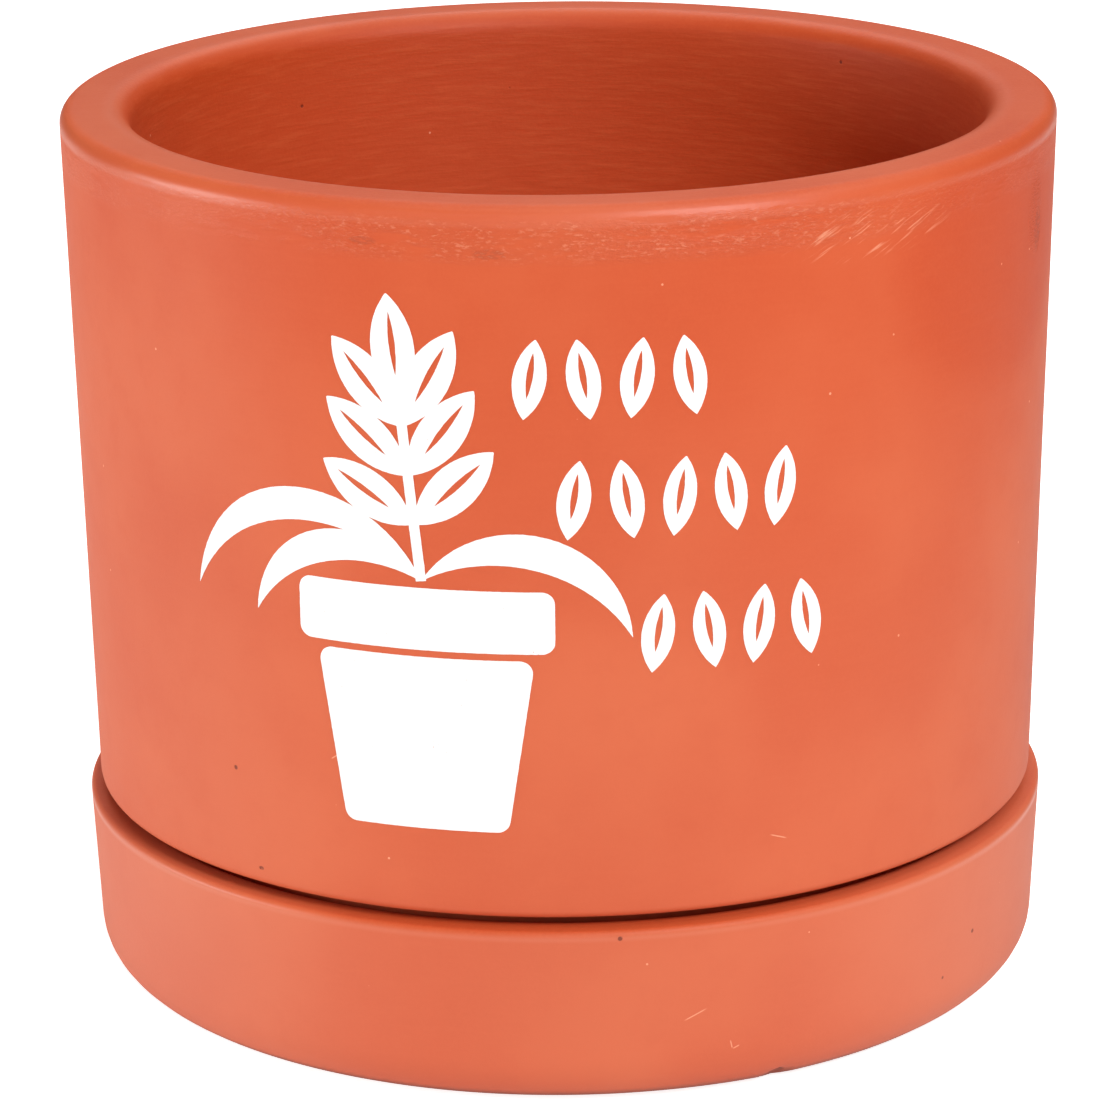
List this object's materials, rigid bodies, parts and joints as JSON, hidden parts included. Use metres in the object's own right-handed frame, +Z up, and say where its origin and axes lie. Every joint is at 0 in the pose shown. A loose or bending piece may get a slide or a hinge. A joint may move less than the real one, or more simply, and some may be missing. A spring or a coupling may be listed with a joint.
{
  "type": "terracotta pot with saucer",
  "caption": "Round terracotta plant pot with a stepped foot and drain hole, standing in its own round saucer, with a plain white leaf and flowerpot print.",
  "frame": {"origin": "centre of the saucer's underside, on the surface that the saucer stands on", "axes": "+Z up along the pot's axis, -Y towards the printed front"},
  "size_m": [0.1298, 0.1298, 0.1165],
  "materials": {
    "terracotta": "matte",
    "ink": "matte"
  },
  "bodies": {
    "saucer": {"saucer": "terracotta"},
    "pot": {"pot": "terracotta", "print_planter": "ink", "print_sprig": "ink", "print_marks_upper": "ink", "print_marks_middle": "ink", "print_marks_lower": "ink"}
  },
  "joints": [
    {"name": "pot_lift", "type": "slide", "parent": "saucer", "child": "pot", "axis": [0, 0, 1], "range_m": [0, 0.06]}
  ]
}
